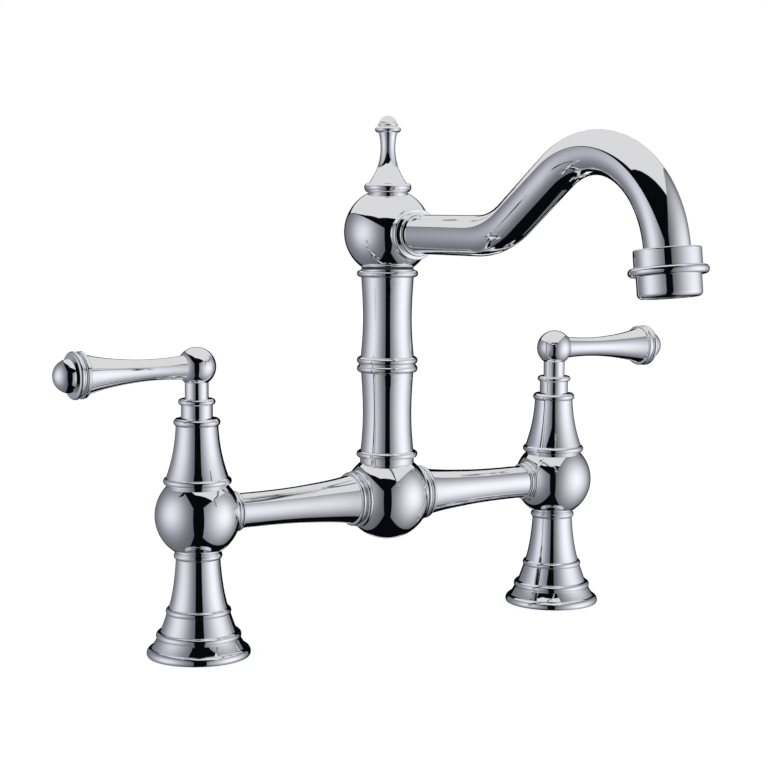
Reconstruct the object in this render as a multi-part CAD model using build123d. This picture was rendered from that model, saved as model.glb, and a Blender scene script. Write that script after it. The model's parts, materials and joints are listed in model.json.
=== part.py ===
from build123d import *
import math
import os

# Bridge kitchen faucet: two pillar valves joined by a bridge, a column on the middle of the
# bridge, and a swivelling spout on the column.
# Frame: X runs along the bridge, the spout points along -Y, +Z is up.
# Origin: on the deck, midway between the two inlets. Lengths are in millimetres.

os.makedirs("parts", exist_ok=True)

# ---------------------------------------------------------------- shared sizes
INLET_CENTRES = 203.2       # distance between the two supply inlets, 8 in
SEAT_GAP = 0.05             # hairline between a collar and the ball it seats on
RUN_CLEARANCE = 0.05        # radial clearance of a running fit
SCREW_CLEARANCE = 0.1       # radial clearance of a screwed or pushed joint
SWING_GAP = 0.3             # gap between faces that turn past each other
ROOT = 1.0                  # how far a decorative bead's base lies inside its piece
CUT_OVER = 1.0              # how far a cut runs past the face it opens

# ---------------------------------------------------------------- pillar foot
FOOT_HEIGHT = 47.35
FOOT_RIM_RADIUS = 23.57
FOOT_RIM_Z = 1.15           # height of the rim's widest line
FOOT_RIM_TOP_ROUND = 2.8
FOOT_RIM_LOW_ROUND = 1.75
FOOT_SKIRT_Z = 2.75
FOOT_SKIRT_RADII = (22.25, 20.4, 18.95)
FOOT_LOW_BEAD_Z = 9.2
FOOT_LOW_BEAD_RADIUS = 19.32
FOOT_LOW_BEAD_THICK = 4.0
FOOT_CONE_RADII = (17.2, 15.55, 14.05)
FOOT_MID_BEAD_Z = 20.3
FOOT_MID_BEAD_RADIUS = 14.83
FOOT_MID_BEAD_THICK = 3.4
FOOT_TRUMPET_RADII = (13.4, 11.95, 11.0, 10.35, 10.0)
FOOT_TOP_BEAD_RADIUS = 11.0
FOOT_TOP_BEAD_THICK = 3.4
FOOT_TOP_RADIUS = 10.1      # flat where the foot meets the pillar ball

# ---------------------------------------------------------------- inlet tail and gasket
INLET_RADIUS = 9.32         # female half inch pipe thread, minor radius
INLET_DEPTH = 15.0
TAIL_RADIUS = 13.0
TAIL_BOSS_HEIGHT = 17.0
TAIL_NECK_RADIUS = 7.0
TAIL_SCREW_LENGTH = 7.3     # length screwed up into the pillar ball
WATERWAY_RADIUS = 5.0
GASKET_RADIUS = 19.0
GASKET_THICK = 2.0

# ---------------------------------------------------------------- pillar ball
PILLAR_BALL_RADIUS = 19.35
PILLAR_SEAT_RADIUS = 13.36  # flat where the bonnet meets the pillar ball
CHAMBER_RADIUS = 12.5
CHAMBER_HEIGHT = 11.5
CHAMBER_FLOOR_THICK = 4.0   # metal between the tail's socket and the valve chamber

# ---------------------------------------------------------------- ceramic valve cartridge
SEAL_INNER_RADIUS = 5.2
SEAL_THICK = 2.0
CARTRIDGE_BODY_RADIUS = 9.0
CARTRIDGE_WALL = 1.6
CARTRIDGE_SCREW_RADIUS = 10.4
CARTRIDGE_HEX_FLATS = 21.0
CARTRIDGE_HEX_HEIGHT = 3.2
CARTRIDGE_NECK_RADIUS = 8.0
CARTRIDGE_NECK_HEIGHT = 18.0
DISC_CLEARANCE = 0.1
FIXED_DISC_THICK = 3.0
MOVING_DISC_THICK = 3.8
DISC_PORT_RADIUS = 2.0
DISC_PORT_OFFSET = 4.2
VALVE_TURN = 90             # degrees from shut to fully open
TONGUE_WIDTH = 2.8
TONGUE_LENGTH = 9.0
TONGUE_HEIGHT = 2.0
SPINDLE_COLLAR_RADIUS = 5.5
SPINDLE_COLLAR_THICK = 3.0
SPINDLE_RADIUS = 3.4
SPINDLE_SQUARE = 4.6
SPINDLE_SQUARE_LENGTH = 8.8
WINDOW_WIDTH = 7.0
WINDOW_HEIGHT = 2.2
SPINDLE_RING_WIRE = 0.76    # wire thickness of the spindle's sealing rings
SPINDLE_RING_OFFSETS = (7.0, 16.0)

# ---------------------------------------------------------------- bonnet
BONNET_HEIGHT = 30.0
BONNET_RADII = (14.1, 12.25, 10.9, 10.03, 9.55)
BONNET_BEAD_RADIUS = 15.42
BONNET_BEAD_THICK = 3.4
BONNET_TOP_BEAD_RADIUS = 10.54
BONNET_TOP_BEAD_THICK = 3.5
BONNET_CAVITY_HEIGHT = 5.8
BONNET_EYE_RADIUS = 4.0
BONNET_LIP_RADIUS = 5.4     # low lip round the eye that stands up into the hub
BONNET_LIP_HEIGHT = 1.0

# ---------------------------------------------------------------- lever
HUB_NECK_RADIUS = 7.12
HUB_NECK_HEIGHT = 5.7
HUB_BEAD_RADIUS = 8.38
HUB_BEAD_THICK = 2.9
HUB_STEM_RADIUS = 5.33
HUB_STEM_HEIGHT = 7.25
LEVER_DROOP = 1.0           # degrees that the arm slopes down from its ball
LEVER_TURN = 1.1            # degrees that a shut lever stands out of line, to the front
LEVER_BALL_RADIUS = 8.8
LEVER_BALL_STUD_RADIUS = 2.4
LEVER_BALL_STUD_LENGTH = 6.0
LEVER_ARM_LENGTH = 47.8
LEVER_ARM_RADII = (5.45, 4.88, 4.76, 5.12, 5.92, 7.17, 9.1)
LEVER_ARM_STUD_RADIUS = 2.4
LEVER_ARM_STUD_LENGTH = 4.5
LEVER_TIP_RING_RADIUS = 10.35
LEVER_TIP_RING_WIDTH = 2.3
LEVER_TIP_RING_ROUND = 0.7
LEVER_TIP_GROOVE_RADIUS = 9.4
LEVER_TIP_GROOVE_WIDTH = 0.9
LEVER_TIP_RIM_RADIUS = 10.5
LEVER_TIP_RIM_WIDTH = 2.4
LEVER_TIP_RIM_ROUND = 1.15
LEVER_KNOB_RADIUS = 7.5
LEVER_KNOB_RISE = 0.6       # from the rim's outer face to the knob's middle
LEVER_TIP_STUD_RADIUS = 3.0
LEVER_TIP_STUD_LENGTH = 8.0
GRUB_SCREW_RADIUS = 2.0
GRUB_SCREW_LENGTH = 3.4
GRUB_SOCKET_FLATS = 2.0
GRUB_SOCKET_DEPTH = 1.8

# ---------------------------------------------------------------- bridge
CENTRE_BALL_RADIUS = 20.7
ARM_RADII = (11.5, 10.06, 9.19, 8.52, 8.17, 8.05, 8.15)
ARM_BORE_RADIUS = 4.5
ARM_INNER_SPIGOT_RADIUS = 7.4
ARM_OUTER_SPIGOT_RADIUS = 6.0
ARM_INNER_SPIGOT_LENGTH = 9.4
ARM_OUTER_SPIGOT_GAP = 0.5  # from the outer spigot's end to the valve chamber
ARM_RING_WIRE = 0.9
ARM_RING_INSET = 2.6        # from a spigot's end to the middle of its sealing ring
# A collar's reach is how far it stands out past its ball. Its beads are given as the distance
# back from its outer face, the outer radius and the thickness.
INNER_COLLAR_REACH = 0.7
INNER_COLLAR_RADIUS = 11.6
INNER_COLLAR_BEADS = ((4.6, 13.6, 2.6), (1.2, 12.85, 2.4))
OUTER_COLLAR_REACH = 1.05
OUTER_COLLAR_RADIUS = 8.5
OUTER_COLLAR_BEADS = ((3.2, 9.9, 2.0), (1.0, 9.25, 1.9))

# ---------------------------------------------------------------- column
COLUMN_SEAT_RADIUS = 12.9   # flat where the column meets the centre ball
COLUMN_BASE_HEIGHT = 5.95
COLUMN_BASE_BEAD_RADIUS = 14.69
COLUMN_BASE_BEAD_THICK = 3.4
LOWER_COLUMN_HEIGHT = 37.6
UPPER_COLUMN_HEIGHT = 37.8
COLUMN_RADII = (12.7, 12.12, 11.74, 11.63, 11.76, 12.07, 12.5)
COLUMN_BORE_RADIUS = 7.0
COLUMN_SPIGOT_RADIUS = 9.2
COLUMN_SPIGOT_LENGTH = 6.0
NIPPLE_LENGTH = 9.8
JOINT_RING_HEIGHT = 7.6
JOINT_RING_RADIUS = 13.5
JOINT_RING_BEAD_RADIUS = 14.55
JOINT_RING_BEAD_THICK = 3.7
TOP_COLLAR_HEIGHT = 3.7
TOP_COLLAR_BEAD_RADIUS = 14.58
TOP_COLLAR_BEAD_THICK = 3.2

# ---------------------------------------------------------------- swivel
POST_RADIUS = 8.5
POST_SCREW_LENGTH = 10.4
POST_BORE_RADIUS = 6.0
POST_STUB_RADIUS = 5.0
POST_PORT_MARGIN = 1.6      # from a port's edge to the chamber's floor and roof
POST_PORT_COUNT = 4
POST_RING_WIRE = 1.2
BUSH_RADIUS = 10.4
BUSH_FLANGE_RADIUS = 12.4
BUSH_FLANGE_THICK = 0.9
BUSH_LENGTH = 5.7
SWIVEL_WASHER_RADIUS = 8.0
SWIVEL_WASHER_THICK = 1.0
SWIVEL_NUT_FLATS = 13.0
SWIVEL_NUT_HEIGHT = 3.7
SWIVEL_NUT_GAP = 0.6        # from the nut's top to the finial's spigot

# ---------------------------------------------------------------- spout ball and finial
SPOUT_BALL_RADIUS = 20.7
SPOUT_BALL_SEAT_RADIUS = 12.75
SPOUT_CHAMBER_RADIUS = 12.0
LOWER_JOURNAL_HEIGHT = 5.7
UPPER_JOURNAL_HEIGHT = 3.8
BALL_WEB_THICK = 2.0
BALL_WEB_EYE_RADIUS = 5.3
NUT_POCKET_RADIUS = 8.6
FINIAL_SEAT_RADIUS = 9.5
FINIAL_SPIGOT_LENGTH = 2.4
FINIAL_NECK_RADIUS = 9.0
FINIAL_NECK_HEIGHT = 3.9
FINIAL_BEAD_Z = 2.7
FINIAL_BEAD_RADIUS = 11.2
FINIAL_BEAD_TOP_ROUND = 1.9
FINIAL_BEAD_LOW_ROUND = 2.6
FINIAL_HEIGHT = 28.3        # from the ball's top flat to the underside of the finial's disc
FINIAL_RADII = (9.4, 7.45, 5.8, 4.62, 3.92, 3.52, 3.48, 3.76, 4.4)
FINIAL_DISC_RADIUS = 6.15
FINIAL_DISC_THICK = 2.8
FINIAL_RING_RADIUS = 4.6
FINIAL_RING_THICK = 1.7
FINIAL_KNOB_RADIUS = 4.1
FINIAL_KNOB_RISE = 3.8      # from the disc's underside to the knob's middle

# ---------------------------------------------------------------- spout
SPOUT_DROP = 0.7            # the spout leaves the ball this far below its middle
SPOUT_TUBE_RADIUS = 9.03
SPOUT_TUBE_WALL = 1.5
SPOUT_TUBE_DEPTH = 7.2      # length of the tube inside the ball
SPOUT_COLLAR_REACH = 6.2
SPOUT_COLLAR_NECK_RADIUS = 10.05
SPOUT_COLLAR_BAND_RADIUS = 12.1
SPOUT_COLLAR_BAND_WIDTH = 3.2
SPOUT_COLLAR_BAND_ROUND = 0.9
SPOUT_COLLAR_STEP_RADIUS = 10.3
SPOUT_COLLAR_STEP_WIDTH = 2.4
SPOUT_COLLAR_STEP_ROUND = 0.8
SPOUT_LEVEL_RUN = 72.7      # level length, from the ball's middle to the first bend
SPOUT_RISE_ANGLE = 34.2
SPOUT_RISE_BEND_RADIUS = 47.4
SPOUT_RISE_RUN = 33.3
SPOUT_CREST_BEND_RADIUS = 43.5
OUTLET_TILT = 7.0           # the outlet leans outwards from straight down
SPOUT_END_RUN = 3.0         # straight end of the tube inside the outlet

# ---------------------------------------------------------------- outlet and aerator
OUTLET_RADIUS = 13.1
OUTLET_HEIGHT = 10.5
OUTLET_EDGE_ROUND = 0.8
OUTLET_LAP = 0.9            # length of the tube's last bend inside the outlet
OUTLET_BEAD_DROP = 8.7
OUTLET_BEAD_RADIUS = 15.55
OUTLET_BEAD_THICK = 3.6
OUTLET_SCREW_RADIUS = 11.0
TUBE_SOCKET_CLEARANCE = 0.15
AERATOR_RADIUS = 12.5
AERATOR_HEIGHT = 8.4
AERATOR_EDGE_ROUND = 1.9
AERATOR_SCREW_LENGTH = 4.6
AERATOR_BORE_RADIUS = 9.6
AERATOR_LIP_RADIUS = 9.0
AERATOR_LIP_THICK = 1.2
AERATOR_WASHER_THICK = 1.0
AERATOR_WASHER_WIDTH = 2.6
AERATOR_MESH_HOLE_RADIUS = 0.55
AERATOR_MESH_PITCH = 2.2    # between one ring of holes and the next
AERATOR_HOLES_PER_RING = 6  # each ring has this many holes more than the one inside it
AERATOR_MESH_THICK = 1.2
AERATOR_INSERT_WALL = 1.4


# ---------------------------------------------------------------- heights worked out from the sizes
def flat_height(ball_radius, flat_radius):
    """Distance from a ball's middle to a flat of the given radius cut on it."""
    return math.sqrt(ball_radius**2 - flat_radius**2)


BRIDGE_Z = FOOT_HEIGHT + flat_height(PILLAR_BALL_RADIUS, FOOT_TOP_RADIUS)
BONNET_Z = BRIDGE_Z + flat_height(PILLAR_BALL_RADIUS, PILLAR_SEAT_RADIUS)
HUB_Z = BONNET_Z + BONNET_HEIGHT + SWING_GAP
HUB_HEIGHT = HUB_NECK_HEIGHT + HUB_BEAD_THICK + HUB_STEM_HEIGHT
LEVER_BALL_FLAT = flat_height(LEVER_BALL_RADIUS, HUB_STEM_RADIUS)
LEVER_Z = HUB_Z + HUB_HEIGHT + LEVER_BALL_FLAT

TAIL_TOP_Z = FOOT_HEIGHT + TAIL_SCREW_LENGTH
CHAMBER_Z = TAIL_TOP_Z + CHAMBER_FLOOR_THICK
CHAMBER_TOP_Z = CHAMBER_Z + CHAMBER_HEIGHT
CARTRIDGE_Z = CHAMBER_Z + SEAL_THICK
MOVING_DISC_Z = CARTRIDGE_Z + FIXED_DISC_THICK + DISC_CLEARANCE
SPINDLE_COLLAR_Z = MOVING_DISC_Z + MOVING_DISC_THICK + DISC_CLEARANCE
NECK_BORE_Z = SPINDLE_COLLAR_Z + SPINDLE_COLLAR_THICK + SWING_GAP
CARTRIDGE_NECK_Z = BONNET_Z + CARTRIDGE_HEX_HEIGHT
CARTRIDGE_TOP_Z = CARTRIDGE_NECK_Z + CARTRIDGE_NECK_HEIGHT
DISC_RADIUS = CARTRIDGE_BODY_RADIUS - CARTRIDGE_WALL - DISC_CLEARANCE

COLUMN_Z = BRIDGE_Z + flat_height(CENTRE_BALL_RADIUS, COLUMN_SEAT_RADIUS)
LOWER_COLUMN_Z = COLUMN_Z + COLUMN_BASE_HEIGHT
JOINT_RING_Z = LOWER_COLUMN_Z + LOWER_COLUMN_HEIGHT
UPPER_COLUMN_Z = JOINT_RING_Z + JOINT_RING_HEIGHT
TOP_COLLAR_Z = UPPER_COLUMN_Z + UPPER_COLUMN_HEIGHT
COLUMN_TOP_Z = TOP_COLLAR_Z + TOP_COLLAR_HEIGHT
BUSH_Z = COLUMN_TOP_Z + SWING_GAP
SPOUT_BALL_FLAT_Z = BUSH_Z + BUSH_FLANGE_THICK
SPOUT_BALL_Z = SPOUT_BALL_FLAT_Z + flat_height(SPOUT_BALL_RADIUS, SPOUT_BALL_SEAT_RADIUS)
FINIAL_Z = SPOUT_BALL_Z + flat_height(SPOUT_BALL_RADIUS, FINIAL_SEAT_RADIUS)
SWIVEL_NUT_TOP_Z = FINIAL_Z - FINIAL_SPIGOT_LENGTH - SWIVEL_NUT_GAP
SWIVEL_NUT_Z = SWIVEL_NUT_TOP_Z - SWIVEL_NUT_HEIGHT
SWIVEL_WASHER_Z = SWIVEL_NUT_Z - SWIVEL_WASHER_THICK
BALL_WEB_TOP_Z = SWIVEL_WASHER_Z - SWING_GAP
BALL_WEB_Z = BALL_WEB_TOP_Z - BALL_WEB_THICK
POST_TOP_Z = BALL_WEB_Z - SWING_GAP
UPPER_JOURNAL_Z = BALL_WEB_Z - UPPER_JOURNAL_HEIGHT
JOURNAL_Z = SPOUT_BALL_FLAT_Z + BUSH_LENGTH + SWING_GAP
SPOUT_CHAMBER_Z = JOURNAL_Z + LOWER_JOURNAL_HEIGHT
SPOUT_CHAMBER_HEIGHT = UPPER_JOURNAL_Z - SPOUT_CHAMBER_Z
SPOUT_CHAMBER_MIDDLE_Z = SPOUT_CHAMBER_Z + SPOUT_CHAMBER_HEIGHT / 2
SPOUT_Z = SPOUT_BALL_Z - SPOUT_DROP

# ---------------------------------------------------------------- distances from a ball's middle
INNER_COLLAR_END = CENTRE_BALL_RADIUS + INNER_COLLAR_REACH
OUTER_COLLAR_END = PILLAR_BALL_RADIUS + OUTER_COLLAR_REACH
SPOUT_COLLAR_END = SPOUT_BALL_RADIUS + SPOUT_COLLAR_REACH
SPOUT_TUBE_INSET = SPOUT_BALL_RADIUS - SPOUT_TUBE_DEPTH
ARM_OUTER_SPIGOT_LENGTH = OUTER_COLLAR_END - CHAMBER_RADIUS - ARM_OUTER_SPIGOT_GAP

# ---------------------------------------------------------------- turned shapes
BASE = (Align.CENTER, Align.CENTER, Align.MIN)


def rod(radius, start, end):
    """Round bar on the Z axis between two heights."""
    return Pos(0, 0, start) * Cylinder(radius, end - start, align=BASE)


def hexagon(flats, start, end):
    """Six-sided bar on the Z axis, measured across its flats."""
    outline = RegularPolygon(flats / 2, 6, major_radius=False)
    return Pos(0, 0, start) * extrude(outline, end - start)


def band(radius, start, end, edge_round):
    """Round bar on the Z axis with both its edges rounded."""
    shape = rod(radius, start, end)
    return fillet(shape.edges().filter_by(GeomType.CIRCLE), edge_round)


def bead(radius, height, thick):
    """Half-round decorative ring of the given outer radius, as a torus."""
    return Pos(0, 0, height) * Torus(radius - thick / 2, thick / 2)


def lopsided_bead(radius, height, top_round, low_round):
    """Decorative ring whose upper and lower half are rounded differently, filled to the axis."""
    reach = radius + CUT_OVER
    top = bead(radius, height, 2 * top_round) & rod(reach, height, height + 2 * top_round)
    low = bead(radius, height, 2 * low_round) & rod(reach, height - 2 * low_round, height)
    core = rod(radius - top_round, height, height + top_round)
    return core + rod(radius - low_round, height - low_round, height) + top + low


def flared(start, end, radii):
    """Turned solid whose side is one smooth line through evenly spaced radii."""
    step = (end - start) / (len(radii) - 1)
    points = [(radius, start + index * step) for index, radius in enumerate(radii)]
    side = Spline(*points)
    back = Polyline(points[-1], (0, end), (0, start), points[0])
    return revolve(Plane.XZ * make_face(side + back), axis=Axis.Z)


def seal_ring(seat_radius, height, wire):
    """Round-section sealing ring that sits on a groove of the given radius."""
    return Pos(0, 0, height) * Torus(seat_radius + wire / 2, wire / 2)


def groove(outer_radius, seat_radius, height, wire):
    """Ring of metal to cut away for a sealing ring."""
    width = wire + 2 * SCREW_CLEARANCE
    cutter = rod(outer_radius + CUT_OVER, height - width / 2, height + width / 2)
    return cutter - rod(seat_radius, height - width, height + width)


def groove_seat(shaft_radius, bore_radius, wire):
    """Groove radius that brings a ring's outside just short of the bore."""
    return min(shaft_radius, bore_radius - SEAT_GAP) - wire


def beaded(shape, end, beads):
    """Add beads, each given as distance back from the end, outer radius and thickness."""
    for back, radius, thick in beads:
        shape += bead(radius, end - back, thick)
    return shape


# ---------------------------------------------------------------- pillar: foot, tail and ball
def base_flange():
    skirt_top = FOOT_LOW_BEAD_Z - FOOT_LOW_BEAD_THICK / 2 + ROOT / 2
    cone_start = FOOT_LOW_BEAD_Z + FOOT_LOW_BEAD_THICK / 2
    trumpet_start = FOOT_MID_BEAD_Z + FOOT_MID_BEAD_THICK / 2
    top_bead_z = FOOT_HEIGHT - FOOT_TOP_BEAD_THICK / 2
    shape = lopsided_bead(FOOT_RIM_RADIUS, FOOT_RIM_Z, FOOT_RIM_TOP_ROUND, FOOT_RIM_LOW_ROUND)
    shape += flared(FOOT_SKIRT_Z, skirt_top, FOOT_SKIRT_RADII)
    shape += rod(FOOT_CONE_RADII[0], skirt_top, cone_start)
    shape += flared(cone_start, FOOT_MID_BEAD_Z, FOOT_CONE_RADII)
    shape += rod(FOOT_TRUMPET_RADII[0], FOOT_MID_BEAD_Z, trumpet_start)
    shape += flared(trumpet_start, top_bead_z, FOOT_TRUMPET_RADII)
    shape += rod(FOOT_TOP_RADIUS - ROOT, top_bead_z, FOOT_HEIGHT)
    shape += bead(FOOT_LOW_BEAD_RADIUS, FOOT_LOW_BEAD_Z, FOOT_LOW_BEAD_THICK)
    shape += bead(FOOT_MID_BEAD_RADIUS, FOOT_MID_BEAD_Z, FOOT_MID_BEAD_THICK)
    shape += bead(FOOT_TOP_BEAD_RADIUS, top_bead_z, FOOT_TOP_BEAD_THICK)
    shape -= rod(FOOT_RIM_RADIUS + CUT_OVER, -2 * FOOT_RIM_LOW_ROUND, 0)
    shape -= rod(GASKET_RADIUS + SEAT_GAP, 0, GASKET_THICK)
    shape -= rod(TAIL_RADIUS + SWING_GAP, 0, TAIL_BOSS_HEIGHT)
    shape -= rod(TAIL_NECK_RADIUS + SWING_GAP, 0, FOOT_HEIGHT)
    return shape


def base_gasket():
    return rod(GASKET_RADIUS, 0, GASKET_THICK) - rod(TAIL_RADIUS + SWING_GAP, 0, GASKET_THICK)


def inlet_tail():
    shape = rod(TAIL_RADIUS, 0, TAIL_BOSS_HEIGHT)
    shape += rod(TAIL_NECK_RADIUS, TAIL_BOSS_HEIGHT, TAIL_TOP_Z - SWING_GAP)
    shape -= rod(INLET_RADIUS, 0, INLET_DEPTH)
    shape -= rod(WATERWAY_RADIUS, 0, TAIL_TOP_Z)
    return shape


def pillar_ball(side):
    shape = Pos(0, 0, BRIDGE_Z) * Sphere(PILLAR_BALL_RADIUS)
    shape -= rod(PILLAR_BALL_RADIUS, 0, FOOT_HEIGHT)
    shape -= rod(PILLAR_BALL_RADIUS, BONNET_Z, BONNET_Z + PILLAR_BALL_RADIUS)
    shape -= rod(TAIL_NECK_RADIUS + SCREW_CLEARANCE, 0, TAIL_TOP_Z)
    shape -= rod(WATERWAY_RADIUS, 0, CHAMBER_Z)
    shape -= rod(CHAMBER_RADIUS, CHAMBER_Z, CHAMBER_TOP_Z)
    shape -= rod(CARTRIDGE_SCREW_RADIUS + SCREW_CLEARANCE, CHAMBER_Z, BONNET_Z)
    port = rod(ARM_OUTER_SPIGOT_RADIUS + SCREW_CLEARANCE, 0, PILLAR_BALL_RADIUS)
    shape -= Pos(0, 0, BRIDGE_Z) * Rot(0, -90 * side, 0) * port
    return shape


# ---------------------------------------------------------------- pillar: valve cartridge
def cartridge_seal():
    outer = rod(CARTRIDGE_BODY_RADIUS, CHAMBER_Z, CARTRIDGE_Z)
    return outer - rod(SEAL_INNER_RADIUS, CHAMBER_Z, CARTRIDGE_Z)


def cartridge_body():
    shape = rod(CARTRIDGE_BODY_RADIUS, CARTRIDGE_Z, CHAMBER_TOP_Z)
    shape += rod(CARTRIDGE_SCREW_RADIUS, CHAMBER_TOP_Z, BONNET_Z)
    shape += hexagon(CARTRIDGE_HEX_FLATS, BONNET_Z, CARTRIDGE_NECK_Z)
    shape += rod(CARTRIDGE_NECK_RADIUS, CARTRIDGE_NECK_Z, CARTRIDGE_TOP_Z)
    shape -= rod(CARTRIDGE_BODY_RADIUS - CARTRIDGE_WALL, CARTRIDGE_Z, NECK_BORE_Z)
    shape -= rod(SPINDLE_RADIUS + RUN_CLEARANCE, NECK_BORE_Z, CARTRIDGE_TOP_Z)
    window_middle = SPINDLE_COLLAR_Z + WINDOW_HEIGHT / 2
    window = Box(WINDOW_WIDTH, 4 * CARTRIDGE_BODY_RADIUS, WINDOW_HEIGHT)
    return shape - Pos(0, 0, window_middle) * window


def valve_disc(start, end, port_angle):
    """Ceramic disc with a pair of round ports across it at the given angle."""
    shape = rod(DISC_RADIUS, start, end)
    for angle in (port_angle, port_angle + 180):
        shape -= Rot(0, 0, angle) * Pos(DISC_PORT_OFFSET, 0, 0) * rod(DISC_PORT_RADIUS, start, end)
    return shape


def fixed_disc():
    return valve_disc(CARTRIDGE_Z, CARTRIDGE_Z + FIXED_DISC_THICK, 0)


def moving_disc():
    top = MOVING_DISC_Z + MOVING_DISC_THICK
    slot_width = TONGUE_WIDTH + 2 * DISC_CLEARANCE
    slot = Box(TONGUE_LENGTH + 2 * DISC_CLEARANCE, slot_width, 2 * TONGUE_HEIGHT)
    return valve_disc(MOVING_DISC_Z, top, VALVE_TURN) - Pos(0, 0, top) * slot


def spindle_ring_seat():
    return groove_seat(SPINDLE_RADIUS, SPINDLE_RADIUS + RUN_CLEARANCE, SPINDLE_RING_WIRE)


def spindle():
    collar_top = SPINDLE_COLLAR_Z + SPINDLE_COLLAR_THICK
    square_z = HUB_Z - SWING_GAP
    tongue = Box(TONGUE_LENGTH, TONGUE_WIDTH, TONGUE_HEIGHT, align=BASE)
    shape = rod(SPINDLE_COLLAR_RADIUS, SPINDLE_COLLAR_Z, collar_top)
    shape += Pos(0, 0, SPINDLE_COLLAR_Z - TONGUE_HEIGHT + DISC_CLEARANCE) * tongue
    shape += rod(SPINDLE_RADIUS, collar_top, square_z)
    square = Box(SPINDLE_SQUARE, SPINDLE_SQUARE, SPINDLE_SQUARE_LENGTH, align=BASE)
    shape += Pos(0, 0, square_z) * square
    for offset in SPINDLE_RING_OFFSETS:
        height = NECK_BORE_Z + offset
        shape -= groove(SPINDLE_RADIUS, spindle_ring_seat(), height, SPINDLE_RING_WIRE)
    return shape


def spindle_o_rings():
    rings = []
    for offset in SPINDLE_RING_OFFSETS:
        rings.append(seal_ring(spindle_ring_seat(), NECK_BORE_Z + offset, SPINDLE_RING_WIRE))
    return Compound(children=rings)


def bonnet():
    top = BONNET_Z + BONNET_HEIGHT
    bell_start = BONNET_Z + BONNET_BEAD_THICK
    bell_end = top - BONNET_TOP_BEAD_THICK
    shape = rod(BONNET_RADII[0], BONNET_Z, bell_start)
    shape += flared(bell_start, bell_end, BONNET_RADII)
    shape += rod(BONNET_RADII[-1], bell_end, top)
    shape += rod(BONNET_LIP_RADIUS, top, top + BONNET_LIP_HEIGHT)
    shape += bead(BONNET_BEAD_RADIUS, BONNET_Z + BONNET_BEAD_THICK / 2, BONNET_BEAD_THICK)
    shape += bead(BONNET_TOP_BEAD_RADIUS, top - BONNET_TOP_BEAD_THICK / 2, BONNET_TOP_BEAD_THICK)
    hex_corner = CARTRIDGE_HEX_FLATS / math.sqrt(3)
    shape -= rod(hex_corner + SWING_GAP, BONNET_Z, BONNET_Z + BONNET_CAVITY_HEIGHT)
    screw_top = CARTRIDGE_TOP_Z + SWING_GAP
    shape -= rod(CARTRIDGE_NECK_RADIUS + SCREW_CLEARANCE, BONNET_Z, screw_top)
    return shape - rod(BONNET_EYE_RADIUS, BONNET_Z, top + BONNET_LIP_HEIGHT)


# ---------------------------------------------------------------- lever
def lever_hub():
    neck_top = HUB_Z + HUB_NECK_HEIGHT
    stem_z = neck_top + HUB_BEAD_THICK
    top = HUB_Z + HUB_HEIGHT
    shape = rod(HUB_NECK_RADIUS, HUB_Z, neck_top)
    shape += rod(HUB_STEM_RADIUS, neck_top, top)
    shape += rod(HUB_BEAD_RADIUS - HUB_BEAD_THICK / 2, neck_top, stem_z)
    shape += bead(HUB_BEAD_RADIUS, neck_top + HUB_BEAD_THICK / 2, HUB_BEAD_THICK)
    shape -= rod(BONNET_LIP_RADIUS + SWING_GAP, HUB_Z, HUB_Z + BONNET_LIP_HEIGHT)
    socket = SPINDLE_SQUARE + 2 * SCREW_CLEARANCE
    shape -= Pos(0, 0, HUB_Z) * Box(socket, socket, SPINDLE_SQUARE_LENGTH, align=BASE)
    stud_hole = LEVER_BALL_STUD_RADIUS + SCREW_CLEARANCE
    shape -= rod(stud_hole, top - LEVER_BALL_STUD_LENGTH - SWING_GAP, top)
    screw_hole = rod(GRUB_SCREW_RADIUS + SCREW_CLEARANCE, 0, HUB_NECK_RADIUS + CUT_OVER)
    shape -= Pos(0, 0, HUB_Z + HUB_NECK_HEIGHT / 2) * Rot(-90, 0, 0) * screw_hole
    return shape


def grub_screw():
    start = SPINDLE_SQUARE / 2 + SEAT_GAP
    end = start + GRUB_SCREW_LENGTH
    shape = rod(GRUB_SCREW_RADIUS, start, end)
    shape -= hexagon(GRUB_SOCKET_FLATS, end - GRUB_SOCKET_DEPTH, end)
    return Pos(0, 0, HUB_Z + HUB_NECK_HEIGHT / 2) * Rot(-90, 0, 0) * shape


def outward(side, shape):
    """Lay a lever piece, drawn upwards from the lever ball's middle, along the bridge."""
    turned = Rot(0, 0, -LEVER_TURN * side) * Rot(0, (90 + LEVER_DROOP) * side, 0)
    return Pos(0, 0, LEVER_Z) * turned * shape


LEVER_ARM_FLAT = flat_height(LEVER_BALL_RADIUS, LEVER_ARM_RADII[0])
LEVER_ARM_END = LEVER_ARM_FLAT + LEVER_ARM_LENGTH


def lever_ball(side):
    flat_z = LEVER_Z - LEVER_BALL_FLAT
    shape = Pos(0, 0, LEVER_Z) * Sphere(LEVER_BALL_RADIUS)
    shape -= rod(LEVER_BALL_RADIUS, flat_z - LEVER_BALL_RADIUS, flat_z)
    shape -= outward(side, rod(LEVER_BALL_RADIUS, LEVER_ARM_FLAT, 2 * LEVER_BALL_RADIUS))
    shape += rod(LEVER_BALL_STUD_RADIUS, flat_z - LEVER_BALL_STUD_LENGTH, flat_z)
    hole_end = LEVER_ARM_FLAT - LEVER_ARM_STUD_LENGTH - SWING_GAP
    hole = rod(LEVER_ARM_STUD_RADIUS + SCREW_CLEARANCE, hole_end, LEVER_ARM_FLAT)
    return shape - outward(side, hole)


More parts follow.
